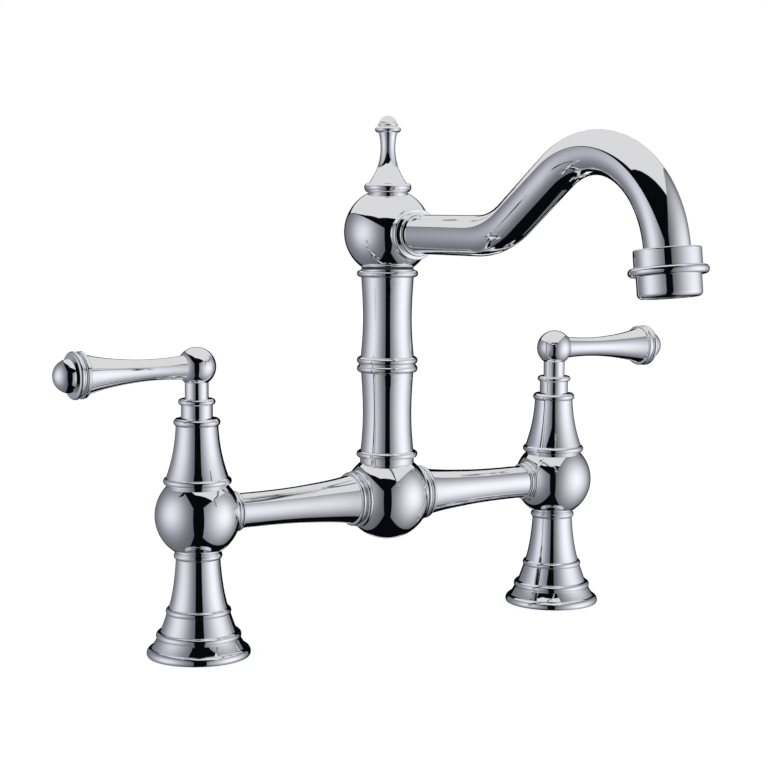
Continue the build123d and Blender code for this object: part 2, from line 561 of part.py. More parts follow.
def lever_arm(side):
    shape = flared(LEVER_ARM_FLAT, LEVER_ARM_END, LEVER_ARM_RADII)
    shape += rod(LEVER_ARM_STUD_RADIUS, LEVER_ARM_FLAT - LEVER_ARM_STUD_LENGTH, LEVER_ARM_FLAT)
    hole_end = LEVER_ARM_END - LEVER_TIP_STUD_LENGTH - SWING_GAP
    shape -= rod(LEVER_TIP_STUD_RADIUS + SCREW_CLEARANCE, hole_end, LEVER_ARM_END)
    return outward(side, shape)


def lever_tip(side):
    ring_end = LEVER_ARM_END + LEVER_TIP_RING_WIDTH
    rim_start = ring_end + LEVER_TIP_GROOVE_WIDTH
    rim_end = rim_start + LEVER_TIP_RIM_WIDTH
    shape = rod(LEVER_TIP_GROOVE_RADIUS, LEVER_ARM_END + ROOT, rim_start + ROOT)
    shape += band(LEVER_TIP_RING_RADIUS, LEVER_ARM_END, ring_end, LEVER_TIP_RING_ROUND)
    shape += band(LEVER_TIP_RIM_RADIUS, rim_start, rim_end, LEVER_TIP_RIM_ROUND)
    knob = Pos(0, 0, rim_end + LEVER_KNOB_RISE) * Sphere(LEVER_KNOB_RADIUS)
    shape += knob - rod(LEVER_KNOB_RADIUS, rim_end - 2 * LEVER_KNOB_RADIUS, rim_end - ROOT)
    shape += rod(LEVER_TIP_STUD_RADIUS, LEVER_ARM_END - LEVER_TIP_STUD_LENGTH, LEVER_ARM_END)
    return outward(side, shape)


# ---------------------------------------------------------------- bridge
def along_bridge(side, shape):
    """Lay a piece, drawn upwards from the centre ball's middle, along one arm."""
    return Pos(0, 0, BRIDGE_Z) * Rot(0, 90 * side, 0) * shape


ARM_END = INLET_CENTRES / 2 - OUTER_COLLAR_END
ARM_INNER_RING = INNER_COLLAR_END - ARM_INNER_SPIGOT_LENGTH + ARM_RING_INSET
ARM_OUTER_RING = ARM_END + ARM_OUTER_SPIGOT_LENGTH - ARM_RING_INSET
ARM_INNER_SEAT = groove_seat(
    ARM_INNER_SPIGOT_RADIUS, ARM_INNER_SPIGOT_RADIUS + SCREW_CLEARANCE, ARM_RING_WIRE)
ARM_OUTER_SEAT = groove_seat(
    ARM_OUTER_SPIGOT_RADIUS, ARM_OUTER_SPIGOT_RADIUS + SCREW_CLEARANCE, ARM_RING_WIRE)


def bridge_arm(side):
    inner_end = INNER_COLLAR_END - ARM_INNER_SPIGOT_LENGTH
    outer_end = ARM_END + ARM_OUTER_SPIGOT_LENGTH
    shape = flared(INNER_COLLAR_END, ARM_END, ARM_RADII)
    shape += rod(ARM_INNER_SPIGOT_RADIUS, inner_end, INNER_COLLAR_END)
    shape += rod(ARM_OUTER_SPIGOT_RADIUS, ARM_END, outer_end)
    shape -= rod(ARM_BORE_RADIUS, inner_end, outer_end)
    shape -= groove(ARM_INNER_SPIGOT_RADIUS, ARM_INNER_SEAT, ARM_INNER_RING, ARM_RING_WIRE)
    shape -= groove(ARM_OUTER_SPIGOT_RADIUS, ARM_OUTER_SEAT, ARM_OUTER_RING, ARM_RING_WIRE)
    return along_bridge(side, shape)


def arm_o_rings(side):
    inner = seal_ring(ARM_INNER_SEAT, ARM_INNER_RING, ARM_RING_WIRE)
    outer = seal_ring(ARM_OUTER_SEAT, ARM_OUTER_RING, ARM_RING_WIRE)
    return Compound(children=[along_bridge(side, inner), along_bridge(side, outer)])


def ball_collar(ball_radius, radius, end, beads, bore_radius):
    """Beaded collar hollowed to sit on a ball, drawn upwards from the ball's middle."""
    start = flat_height(ball_radius, radius) - ROOT
    shape = beaded(rod(radius, start, end), end, beads)
    shape -= Sphere(ball_radius + SEAT_GAP)
    return shape - rod(bore_radius, start, end + CUT_OVER)


def inner_collar(side):
    bore = ARM_INNER_SPIGOT_RADIUS + SCREW_CLEARANCE
    shape = ball_collar(
        CENTRE_BALL_RADIUS, INNER_COLLAR_RADIUS, INNER_COLLAR_END, INNER_COLLAR_BEADS, bore)
    return along_bridge(side, shape)


def outer_collar(side):
    bore = ARM_OUTER_SPIGOT_RADIUS + SCREW_CLEARANCE
    shape = ball_collar(
        PILLAR_BALL_RADIUS, OUTER_COLLAR_RADIUS, OUTER_COLLAR_END, OUTER_COLLAR_BEADS, bore)
    return along_bridge(side, Pos(0, 0, INLET_CENTRES / 2) * Rot(180, 0, 0) * shape)


def centre_ball():
    shape = Pos(0, 0, BRIDGE_Z) * Sphere(CENTRE_BALL_RADIUS)
    shape -= rod(CENTRE_BALL_RADIUS, COLUMN_Z, COLUMN_Z + CENTRE_BALL_RADIUS)
    shape -= rod(COLUMN_SPIGOT_RADIUS + SCREW_CLEARANCE, BRIDGE_Z, COLUMN_Z)
    port = rod(ARM_INNER_SPIGOT_RADIUS + SCREW_CLEARANCE, 0, CENTRE_BALL_RADIUS)
    for side in (-1, 1):
        shape -= along_bridge(side, port)
    return shape


# ---------------------------------------------------------------- column
def column_base_collar():
    bead_z = LOWER_COLUMN_Z - COLUMN_BASE_BEAD_THICK / 2
    shape = rod(COLUMN_SEAT_RADIUS, COLUMN_Z, LOWER_COLUMN_Z)
    shape += bead(COLUMN_BASE_BEAD_RADIUS, bead_z, COLUMN_BASE_BEAD_THICK)
    return shape - rod(COLUMN_SPIGOT_RADIUS + SCREW_CLEARANCE, COLUMN_Z, LOWER_COLUMN_Z)


def lower_column():
    spigot_z = COLUMN_Z - COLUMN_SPIGOT_LENGTH
    socket_z = JOINT_RING_Z - NIPPLE_LENGTH - SWING_GAP
    shape = flared(LOWER_COLUMN_Z, JOINT_RING_Z, COLUMN_RADII)
    shape += rod(COLUMN_SPIGOT_RADIUS, spigot_z, LOWER_COLUMN_Z)
    shape -= rod(COLUMN_BORE_RADIUS, spigot_z, JOINT_RING_Z)
    shape -= rod(COLUMN_SPIGOT_RADIUS + SCREW_CLEARANCE, socket_z, JOINT_RING_Z)
    return shape


def column_joint_ring():
    low_bead = JOINT_RING_Z + JOINT_RING_BEAD_THICK / 2
    high_bead = UPPER_COLUMN_Z - JOINT_RING_BEAD_THICK / 2
    nipple_bottom = JOINT_RING_Z - NIPPLE_LENGTH
    nipple_top = UPPER_COLUMN_Z + NIPPLE_LENGTH
    shape = rod(JOINT_RING_RADIUS, low_bead, high_bead)
    shape += rod(JOINT_RING_RADIUS - ROOT, JOINT_RING_Z, UPPER_COLUMN_Z)
    for bead_z in (low_bead, high_bead):
        shape += bead(JOINT_RING_BEAD_RADIUS, bead_z, JOINT_RING_BEAD_THICK)
    shape += rod(COLUMN_SPIGOT_RADIUS, nipple_bottom, nipple_top)
    return shape - rod(COLUMN_BORE_RADIUS, nipple_bottom, nipple_top)


def upper_column():
    low_socket_end = UPPER_COLUMN_Z + NIPPLE_LENGTH + SWING_GAP
    high_socket_z = TOP_COLLAR_Z - POST_SCREW_LENGTH - SWING_GAP
    socket_radius = COLUMN_SPIGOT_RADIUS + SCREW_CLEARANCE
    shape = flared(UPPER_COLUMN_Z, TOP_COLLAR_Z, COLUMN_RADII)
    shape -= rod(COLUMN_BORE_RADIUS, UPPER_COLUMN_Z, TOP_COLLAR_Z)
    shape -= rod(socket_radius, UPPER_COLUMN_Z, low_socket_end)
    return shape - rod(socket_radius, high_socket_z, TOP_COLLAR_Z)


def column_top_collar():
    bead_z = TOP_COLLAR_Z + TOP_COLLAR_BEAD_THICK / 2
    shape = rod(SPOUT_BALL_SEAT_RADIUS, TOP_COLLAR_Z, COLUMN_TOP_Z)
    shape += bead(TOP_COLLAR_BEAD_RADIUS, bead_z, TOP_COLLAR_BEAD_THICK)
    return shape - rod(COLUMN_SPIGOT_RADIUS + SCREW_CLEARANCE, TOP_COLLAR_Z, COLUMN_TOP_Z)


# ---------------------------------------------------------------- swivel
JOURNAL_RADIUS = POST_RADIUS + RUN_CLEARANCE
POST_RING_SEAT = groove_seat(POST_RADIUS, JOURNAL_RADIUS, POST_RING_WIRE)
POST_RING_HEIGHTS = (
    JOURNAL_Z + LOWER_JOURNAL_HEIGHT / 2,
    UPPER_JOURNAL_Z + UPPER_JOURNAL_HEIGHT / 2,
)


def swivel_post():
    bottom = TOP_COLLAR_Z - POST_SCREW_LENGTH
    shape = rod(COLUMN_SPIGOT_RADIUS, bottom, COLUMN_TOP_Z)
    shape += rod(POST_RADIUS, COLUMN_TOP_Z, POST_TOP_Z)
    shape += rod(POST_STUB_RADIUS, POST_TOP_Z, SWIVEL_NUT_TOP_Z)
    shape -= rod(POST_BORE_RADIUS, bottom, UPPER_JOURNAL_Z)
    port_radius = SPOUT_CHAMBER_HEIGHT / 2 - POST_PORT_MARGIN
    port = Rot(0, 90, 0) * rod(port_radius, 0, POST_RADIUS + CUT_OVER)
    for index in range(POST_PORT_COUNT):
        turn = (index + 0.5) * 360 / POST_PORT_COUNT
        shape -= Pos(0, 0, SPOUT_CHAMBER_MIDDLE_Z) * Rot(0, 0, turn) * port
    for height in POST_RING_HEIGHTS:
        shape -= groove(POST_RADIUS, POST_RING_SEAT, height, POST_RING_WIRE)
    return shape


def swivel_o_rings():
    rings = [seal_ring(POST_RING_SEAT, height, POST_RING_WIRE) for height in POST_RING_HEIGHTS]
    return Compound(children=rings)


def swivel_bush():
    shape = rod(BUSH_FLANGE_RADIUS, BUSH_Z, SPOUT_BALL_FLAT_Z)
    shape += rod(BUSH_RADIUS, SPOUT_BALL_FLAT_Z, SPOUT_BALL_FLAT_Z + BUSH_LENGTH)
    return shape - rod(JOURNAL_RADIUS, BUSH_Z, SPOUT_BALL_FLAT_Z + BUSH_LENGTH)


def swivel_washer():
    outer = rod(SWIVEL_WASHER_RADIUS, SWIVEL_WASHER_Z, SWIVEL_NUT_Z)
    return outer - rod(POST_STUB_RADIUS + SCREW_CLEARANCE, SWIVEL_WASHER_Z, SWIVEL_NUT_Z)


def swivel_nut():
    shape = hexagon(SWIVEL_NUT_FLATS, SWIVEL_NUT_Z, SWIVEL_NUT_TOP_Z)
    return shape - rod(POST_STUB_RADIUS + SCREW_CLEARANCE, SWIVEL_NUT_Z, SWIVEL_NUT_TOP_Z)


# ---------------------------------------------------------------- spout ball and finial
def along_spout(shape):
    """Lay a piece, drawn upwards from the spout ball's middle, along the spout."""
    return Pos(0, 0, SPOUT_Z) * Rot(90, 0, 0) * shape


def spout_ball():
    shape = Pos(0, 0, SPOUT_BALL_Z) * Sphere(SPOUT_BALL_RADIUS)
    shape -= rod(SPOUT_BALL_RADIUS, COLUMN_TOP_Z - SPOUT_BALL_RADIUS, SPOUT_BALL_FLAT_Z)
    shape -= rod(SPOUT_BALL_RADIUS, FINIAL_Z, FINIAL_Z + SPOUT_BALL_RADIUS)
    shape -= rod(BUSH_RADIUS + SCREW_CLEARANCE, SPOUT_BALL_FLAT_Z, JOURNAL_Z)
    shape -= rod(JOURNAL_RADIUS, JOURNAL_Z, BALL_WEB_Z)
    shape -= rod(SPOUT_CHAMBER_RADIUS, SPOUT_CHAMBER_Z, UPPER_JOURNAL_Z)
    shape -= rod(BALL_WEB_EYE_RADIUS, BALL_WEB_Z, FINIAL_Z)
    shape -= rod(NUT_POCKET_RADIUS, BALL_WEB_TOP_Z, FINIAL_Z)
    socket_start = SPOUT_TUBE_INSET - SWING_GAP
    socket = rod(SPOUT_TUBE_RADIUS + SCREW_CLEARANCE, socket_start, SPOUT_BALL_RADIUS)
    waterway = rod(SPOUT_TUBE_RADIUS - SPOUT_TUBE_WALL, POST_RADIUS, SPOUT_BALL_RADIUS)
    waterway &= rod(SPOUT_BALL_RADIUS, 0, SPOUT_BALL_RADIUS)
    channel = Box(2 * POST_RADIUS, SPOUT_CHAMBER_HEIGHT, SPOUT_TUBE_INSET, align=BASE)
    waterway &= Pos(0, SPOUT_CHAMBER_MIDDLE_Z - SPOUT_Z, 0) * channel
    return shape - along_spout(socket) - along_spout(waterway)


def finial():
    neck_top = FINIAL_Z + FINIAL_NECK_HEIGHT
    disc_z = FINIAL_Z + FINIAL_HEIGHT
    disc_middle = disc_z + FINIAL_DISC_THICK / 2
    bead_z = FINIAL_Z + FINIAL_BEAD_Z
    shape = rod(FINIAL_NECK_RADIUS, FINIAL_Z, neck_top)
    shape += rod(FINIAL_RADII[0], bead_z, neck_top)
    shape += lopsided_bead(
        FINIAL_BEAD_RADIUS, bead_z, FINIAL_BEAD_TOP_ROUND, FINIAL_BEAD_LOW_ROUND)
    shape += flared(neck_top, disc_z, FINIAL_RADII)
    shape += rod(FINIAL_DISC_RADIUS - FINIAL_DISC_THICK / 2, disc_z, disc_z + FINIAL_DISC_THICK)
    shape += bead(FINIAL_DISC_RADIUS, disc_middle, FINIAL_DISC_THICK)
    ring_z = disc_z + FINIAL_DISC_THICK + FINIAL_RING_THICK / 2
    shape += bead(FINIAL_RING_RADIUS, ring_z, FINIAL_RING_THICK)
    shape += Pos(0, 0, disc_z + FINIAL_KNOB_RISE) * Sphere(FINIAL_KNOB_RADIUS)
    spigot_radius = NUT_POCKET_RADIUS - SCREW_CLEARANCE
    return shape + rod(spigot_radius, FINIAL_Z - FINIAL_SPIGOT_LENGTH, FINIAL_Z)


# ---------------------------------------------------------------- spout
def spout_collar():
    bore = SPOUT_TUBE_RADIUS + SCREW_CLEARANCE
    start = SPOUT_TUBE_INSET
    band_end = SPOUT_COLLAR_END - SPOUT_COLLAR_STEP_WIDTH
    band_start = band_end - SPOUT_COLLAR_BAND_WIDTH
    shape = rod(SPOUT_COLLAR_NECK_RADIUS, start, band_start + ROOT)
    shape += band(SPOUT_COLLAR_BAND_RADIUS, band_start, band_end, SPOUT_COLLAR_BAND_ROUND)
    step_start = band_end - ROOT
    shape += band(SPOUT_COLLAR_STEP_RADIUS, step_start, SPOUT_COLLAR_END, SPOUT_COLLAR_STEP_ROUND)
    shape -= Pos(0, SPOUT_DROP, 0) * Sphere(SPOUT_BALL_RADIUS + SEAT_GAP)
    return along_spout(shape - rod(bore, start, SPOUT_COLLAR_END))


def spout_corners():
    """Corners of the spout's middle line, as (distance from the column, height)."""
    rise = math.radians(SPOUT_RISE_ANGLE)
    crest_turn = rise + math.radians(90 - OUTLET_TILT)
    first_tangent = SPOUT_RISE_BEND_RADIUS * math.tan(rise / 2)
    crest_tangent = SPOUT_CREST_BEND_RADIUS * math.tan(crest_turn / 2)
    first = (SPOUT_LEVEL_RUN + first_tangent, SPOUT_Z)
    climb = first_tangent + SPOUT_RISE_RUN + crest_tangent
    crest = (first[0] + climb * math.cos(rise), first[1] + climb * math.sin(rise))
    drop = crest_tangent + SPOUT_END_RUN
    tilt = math.radians(OUTLET_TILT)
    end = (crest[0] + drop * math.sin(tilt), crest[1] - drop * math.cos(tilt))
    return first, crest, end


def spout_tube():
    first, crest, end = spout_corners()
    route = [(SPOUT_TUBE_INSET, SPOUT_Z), first, crest, end]
    corners = [(0, -distance, height) for distance, height in route]
    path = FilletPolyline(*corners, radius=[SPOUT_RISE_BEND_RADIUS, SPOUT_CREST_BEND_RADIUS])
    section = Plane(origin=corners[0], z_dir=(0, -1, 0)) * Circle(SPOUT_TUBE_RADIUS)
    bore = Plane(origin=corners[0], z_dir=(0, -1, 0)) * Circle(SPOUT_TUBE_RADIUS - SPOUT_TUBE_WALL)
    return sweep(section, path=path) - sweep(bore, path=path)


# ---------------------------------------------------------------- outlet and aerator
TUBE_SOCKET_DEPTH = OUTLET_LAP + SPOUT_END_RUN
AERATOR_SCREW_START = OUTLET_HEIGHT - AERATOR_SCREW_LENGTH
OUTLET_SHOULDER = AERATOR_SCREW_START - AERATOR_WASHER_THICK
AERATOR_END = OUTLET_HEIGHT + AERATOR_HEIGHT


def at_outlet(shape):
    """Place a piece, drawn upwards from the outlet's top, on the spout's leaning end."""
    distance, height = spout_corners()[2]
    tilt = math.radians(OUTLET_TILT)
    distance -= TUBE_SOCKET_DEPTH * math.sin(tilt)
    height += TUBE_SOCKET_DEPTH * math.cos(tilt)
    return Pos(0, -distance, height) * Rot(180 - OUTLET_TILT, 0, 0) * shape


def round_edge(shape, height, radius):
    """Round the outer circular edge at the given height of an upright turned piece."""
    level = shape.edges().filter_by(GeomType.CIRCLE).filter_by_position(Axis.Z, height, height)
    return fillet(level.sort_by(SortBy.RADIUS)[-1:], radius)


def outlet_boss():
    shape = round_edge(rod(OUTLET_RADIUS, 0, OUTLET_HEIGHT), 0, OUTLET_EDGE_ROUND)
    shape += bead(OUTLET_BEAD_RADIUS, OUTLET_BEAD_DROP, OUTLET_BEAD_THICK)
    shape -= rod(SPOUT_TUBE_RADIUS + TUBE_SOCKET_CLEARANCE, 0, TUBE_SOCKET_DEPTH)
    shape -= rod(SPOUT_TUBE_RADIUS - SPOUT_TUBE_WALL, 0, OUTLET_HEIGHT)
    shape -= rod(OUTLET_SCREW_RADIUS, OUTLET_SHOULDER, OUTLET_HEIGHT)
    return at_outlet(shape)


def aerator_washer():
    outer = OUTLET_SCREW_RADIUS - SCREW_CLEARANCE
    shape = rod(outer, OUTLET_SHOULDER, AERATOR_SCREW_START)
    shape -= rod(outer - AERATOR_WASHER_WIDTH, OUTLET_SHOULDER, AERATOR_SCREW_START)
    return at_outlet(shape)


def aerator_housing():
    shape = round_edge(rod(AERATOR_RADIUS, OUTLET_HEIGHT, AERATOR_END), AERATOR_END,
                       AERATOR_EDGE_ROUND)
    shape += rod(OUTLET_SCREW_RADIUS - SCREW_CLEARANCE, AERATOR_SCREW_START, OUTLET_HEIGHT)
    shape -= rod(AERATOR_BORE_RADIUS, AERATOR_SCREW_START, AERATOR_END - AERATOR_LIP_THICK)
    return at_outlet(shape - rod(AERATOR_LIP_RADIUS, AERATOR_SCREW_START, AERATOR_END))


def aerator_insert():
    radius = AERATOR_BORE_RADIUS - SCREW_CLEARANCE
    end = AERATOR_END - AERATOR_LIP_THICK
    shape = rod(radius, AERATOR_SCREW_START, end)
    shape -= rod(radius - AERATOR_INSERT_WALL, AERATOR_SCREW_START, end - AERATOR_MESH_THICK)
    mesh_radius = radius - AERATOR_INSERT_WALL - AERATOR_MESH_HOLE_RADIUS
    for ring in range(int(mesh_radius / AERATOR_MESH_PITCH) + 1):
        count = max(1, ring * AERATOR_HOLES_PER_RING)
        for index in range(count):
            spot = Rot(0, 0, index * 360 / count) * Pos(ring * AERATOR_MESH_PITCH, 0, 0)
            shape -= spot * rod(AERATOR_MESH_HOLE_RADIUS, end - AERATOR_MESH_THICK, end)
    return at_outlet(shape)


# ---------------------------------------------------------------- all pieces
def at_pillar(side, shape):
    return Pos(side * INLET_CENTRES / 2, 0, 0) * shape


pieces = {}
for side, name in ((-1, "left"), (1, "right")):
    pieces[name + "_base_gasket"] = at_pillar(side, base_gasket())
    pieces[name + "_base_flange"] = at_pillar(side, base_flange())
    pieces[name + "_inlet_tail"] = at_pillar(side, inlet_tail())
    pieces[name + "_pillar_ball"] = at_pillar(side, pillar_ball(side))
    pieces[name + "_cartridge_seal"] = at_pillar(side, cartridge_seal())
    pieces[name + "_cartridge_body"] = at_pillar(side, cartridge_body())
    pieces[name + "_fixed_disc"] = at_pillar(side, fixed_disc())
    pieces[name + "_moving_disc"] = at_pillar(side, moving_disc())
    pieces[name + "_spindle"] = at_pillar(side, spindle())
    pieces[name + "_spindle_o_rings"] = at_pillar(side, spindle_o_rings())
    pieces[name + "_bonnet"] = at_pillar(side, bonnet())
    pieces[name + "_lever_hub"] = at_pillar(side, lever_hub())
    pieces[name + "_grub_screw"] = at_pillar(side, grub_screw())
    pieces[name + "_lever_ball"] = at_pillar(side, lever_ball(side))
    pieces[name + "_lever_arm"] = at_pillar(side, lever_arm(side))
    pieces[name + "_lever_tip"] = at_pillar(side, lever_tip(side))
    pieces[name + "_bridge_arm"] = bridge_arm(side)
    pieces[name + "_arm_o_rings"] = arm_o_rings(side)
    pieces[name + "_inner_collar"] = inner_collar(side)
    pieces[name + "_outer_collar"] = outer_collar(side)

for build in (centre_ball, column_base_collar, lower_column, column_joint_ring, upper_column,
              column_top_collar, swivel_post, swivel_o_rings, swivel_bush, swivel_washer,
              swivel_nut, spout_ball, finial, spout_collar, spout_tube, outlet_boss,
              aerator_washer, aerator_housing, aerator_insert):
    pieces[build.__name__] = build()

for node, shape in pieces.items():
    export_step(shape, "parts/" + node + ".step")
print(len(pieces), "pieces")
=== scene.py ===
import json
import math

import bpy
from mathutils import Matrix, Vector

# Looks for the bridge kitchen faucet: polished chrome between two lit cloths and under a lit
# ceiling, on a white floor. Lengths are in metres, in the frame of the CAD model: X along the
# bridge, the spout along -Y, +Z up, and the deck at Z = 0.

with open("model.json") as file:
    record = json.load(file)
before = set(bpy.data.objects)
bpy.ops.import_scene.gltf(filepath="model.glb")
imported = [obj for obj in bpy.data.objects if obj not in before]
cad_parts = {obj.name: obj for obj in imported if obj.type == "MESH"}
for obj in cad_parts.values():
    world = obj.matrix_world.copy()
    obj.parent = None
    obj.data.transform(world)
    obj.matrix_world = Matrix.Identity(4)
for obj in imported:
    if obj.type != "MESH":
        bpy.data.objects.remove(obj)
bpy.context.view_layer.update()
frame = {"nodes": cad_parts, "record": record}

# ---------------------------------------------------------------- camera
CAMERA_PLACE = (-0.4505, -0.6901, 0.20205)
CAMERA_YAW = 32.72          # degrees from +Y towards +X
CAMERA_PITCH = -6.08
CAMERA_ROLL = 0.14
SENSOR_WIDTH = 36.0
FOCAL_LENGTH = 81.155
CAMERA_SHIFT = (0.0122, 0.0095)
CLIP_START = 0.01

# ---------------------------------------------------------------- light tent
# Azimuths are in degrees from the camera's side, positive to its right. A wall is a dark flag
# with a window in it: azimuth and distance place it, and the window runs from back to front
# along it (positive towards the camera) and from bottom to top.
LEFT_WALL = dict(
    azimuth=-80.0, distance=0.250, back=-2.0, front=0.740, bottom=-0.66135, top=0.34165,
)
RIGHT_WALL = dict(
    azimuth=77.0, distance=0.245, back=-0.61, front=0.510, bottom=-0.60135, top=0.34865,
)
WALL_REACH = 3.0            # how far walls and cloths run to each side, up and down

# A dark shell closes the tent. It has one opening at the back, in degrees, where the metal sees
# the white background. Its steps are the faces round it, below the opening and above it.
SHELL_DISTANCE = 4.0
SHELL_STEPS_ROUND = 90
SHELL_STEPS_LOW = 14
SHELL_STEPS_HIGH = 27
SLOT_HALF_WIDTH = 10.0
SLOT_ELEVATIONS = (-34.0, -27.0)
FLAG_LIGHT = 0.003          # painted glow: what the dark cloth itself sends back
FLAG_GLOW_COLOUR = (0.8, 0.9, 1.2)

# Behind each window a lamp glows: azimuth, elevation, then (strength, spread in degrees) of its
# core and of its halo, which has its own azimuth, and the strength that is left far from it.
LAMP_MIDDLE = (0.0, 0.0, 0.12865)
LAMP_DISTANCE = 0.9
LEFT_LAMP = dict(
    azimuth=-67.0, elevation=2.0, core=(0.63, 35.0),
    halo_azimuth=-97.0, halo=(0.16, 68.0), rest=0.09,
)
RIGHT_LAMP = dict(
    azimuth=76.0, elevation=-5.0, core=(0.92, 47.0),
    halo_azimuth=90.0, halo=(0.08, 80.0), rest=0.03,
)
LAMP_COLOUR = (0.935, 0.955, 1.01)
LAMP_REST_COLOUR = (0.86, 0.90, 1.04)   # colour of the halo and of what is left far away

# The ceiling's corners, as distances towards the camera and to its right.
CEILING_HEIGHT = 0.34865
CEILING_CORNERS = (
    (0.235, 0.197), (0.20, -0.10), (0.06, -0.215),
    (-0.06, -0.262), (-0.45, -0.331), (-0.45, 0.355),
)
CEILING_LIGHT = 0.735
CEILING_COLOUR = (0.985, 0.985, 1.0)

# ---------------------------------------------------------------- floor and background
FLOOR_RADIUS = 3.0
FLOOR_STEPS = 96
FLOOR_OWN_LIGHT = 0.70      # the floor's glow, which with the lit diffuse part makes it white
FLOOR_COLOUR = (0.5, 0.5, 0.5)
AMBIENT_LIGHT = 0.75        # strength of the background where it only gives light, unseen

# ---------------------------------------------------------------- grain of the finishes
GRAIN_DETAIL = 4.0
GRAIN_ROUGHNESS = 0.55
GRAIN_RELIEF = 1 / 20       # depth of the relief, as a share of the grain's size


# ---------------------------------------------------------------- small helpers
def link(obj):
    bpy.context.scene.collection.objects.link(obj)
    return obj


def mesh_object(name, points, faces, smooth=True):
    mesh = bpy.data.meshes.new(name)
    mesh.from_pydata([tuple(p) for p in points], [], faces)
    mesh.update()
    for polygon in mesh.polygons:
        polygon.use_smooth = smooth
    return link(bpy.data.objects.new(name, mesh))


def new_material(name):
    material = bpy.data.materials.new(name)
    material.use_nodes = True
    material.node_tree.nodes.clear()
    return material, material.node_tree


def node(tree, kind, **inputs):
    """Add a node; the keywords set its sockets, with spaces written as underscores."""
    made = tree.nodes.new(kind)
    for name, value in inputs.items():
        made.inputs[name.replace("_", " ")].default_value = value
    return made


def math_node(tree, operation, first, second=None):
    made = tree.nodes.new("ShaderNodeMath")
    made.operation = operation
    for index, value in enumerate((first, second)):
        if value is None:
            continue
        if isinstance(value, (int, float)):
            made.inputs[index].default_value = value
        else:
            tree.links.new(value, made.inputs[index])
    return made.outputs[0]


# ---------------------------------------------------------------- camera
def make_camera():
    data = bpy.data.cameras.new("camera")
    data.sensor_width = SENSOR_WIDTH
    data.lens = FOCAL_LENGTH
    data.shift_x, data.shift_y = CAMERA_SHIFT
    data.clip_start = CLIP_START
    camera = link(bpy.data.objects.new("camera", data))
    turn = Matrix.Rotation(math.radians(-CAMERA_YAW), 4, "Z")
    tip = Matrix.Rotation(math.radians(90 + CAMERA_PITCH), 4, "X")
    roll = Matrix.Rotation(math.radians(CAMERA_ROLL), 4, "Z")
    camera.matrix_world = Matrix.Translation(CAMERA_PLACE) @ turn @ tip @ roll
    bpy.context.scene.camera = camera


# ---------------------------------------------------------------- light tent
def direction(azimuth, elevation):
    """Unit vector: azimuth 0 is the photograph's camera side, positive to its right."""
    turn = math.radians(azimuth - 90 - CAMERA_YAW)
    rise = math.radians(elevation)
    return Vector((
        math.cos(rise) * math.cos(turn),
        math.cos(rise) * math.sin(turn),
        math.sin(rise),
    ))


def studio_piece(obj, material):
    """Studio gear that only polished surfaces see."""
    obj.data.materials.append(material)
    material.cycles.emission_sampling = "NONE"
    obj.visible_camera = False
    obj.visible_diffuse = False
    obj.visible_transmission = False
    obj.visible_volume_scatter = False
    obj.visible_shadow = False
    return obj


def plain_light(name, colour, strength):
    material, tree = new_material(name)
    emission = node(tree, "ShaderNodeEmission", Color=(*colour, 1), Strength=strength)
    output = tree.nodes.new("ShaderNodeOutputMaterial")
    tree.links.new(emission.outputs[0], output.inputs["Surface"])
    return material


def glow(tree, angle, strength, spread):
    """Light that fades with the angle from the lamp."""
    ratio = math_node(tree, "DIVIDE", angle, math.radians(spread))
    square = math_node(tree, "MULTIPLY", ratio, ratio)
    fade = math_node(tree, "EXPONENT", math_node(tree, "MULTIPLY", square, -1.0))
    return math_node(tree, "MULTIPLY", fade, strength)


def angle_from(tree, unit, middle):
    """Angle between a unit vector node and a fixed direction."""
    dot = tree.nodes.new("ShaderNodeVectorMath")
    dot.operation = "DOT_PRODUCT"
    dot.inputs[1].default_value = middle
    tree.links.new(unit.outputs[0], dot.inputs[0])
    return math_node(tree, "ARCCOSINE", dot.outputs["Value"])


def lamp_material(name, lamp):
    """Cloth that glows brightest round the lamp's direction, seen from the tent's middle."""
    material, tree = new_material(name)
    place = node(tree, "ShaderNodeNewGeometry").outputs["Position"]
    offset = tree.nodes.new("ShaderNodeVectorMath")
    offset.operation = "SUBTRACT"
    offset.inputs[1].default_value = LAMP_MIDDLE
    tree.links.new(place, offset.inputs[0])
    unit = tree.nodes.new("ShaderNodeVectorMath")
    unit.operation = "NORMALIZE"
    tree.links.new(offset.outputs[0], unit.inputs[0])
    angle = angle_from(tree, unit, direction(lamp["azimuth"], lamp["elevation"]))
    halo_angle = angle_from(tree, unit, direction(lamp["halo_azimuth"], lamp["elevation"]))
    near = node(tree, "ShaderNodeEmission", Color=(*LAMP_COLOUR, 1))
    tree.links.new(glow(tree, angle, *lamp["core"]), near.inputs["Strength"])
    far = node(tree, "ShaderNodeEmission", Color=(*LAMP_REST_COLOUR, 1))
    rest = math_node(tree, "ADD", glow(tree, halo_angle, *lamp["halo"]), lamp["rest"])
    tree.links.new(rest, far.inputs["Strength"])
    both = tree.nodes.new("ShaderNodeAddShader")
    tree.links.new(near.outputs[0], both.inputs[0])
    tree.links.new(far.outputs[0], both.inputs[1])
    output = tree.nodes.new("ShaderNodeOutputMaterial")
    tree.links.new(both.outputs[0], output.inputs["Surface"])
    return material


def wall_point(wall, distance, along, height):
    """Point on the wall's plane, or on the parallel plane at another distance."""
    towards_camera = 90 if wall["azimuth"] < 0 else -90
    spot = direction(wall["azimuth"], 0) * distance
    spot += direction(wall["azimuth"] + towards_camera, 0) * along
    return (spot.x, spot.y, height)


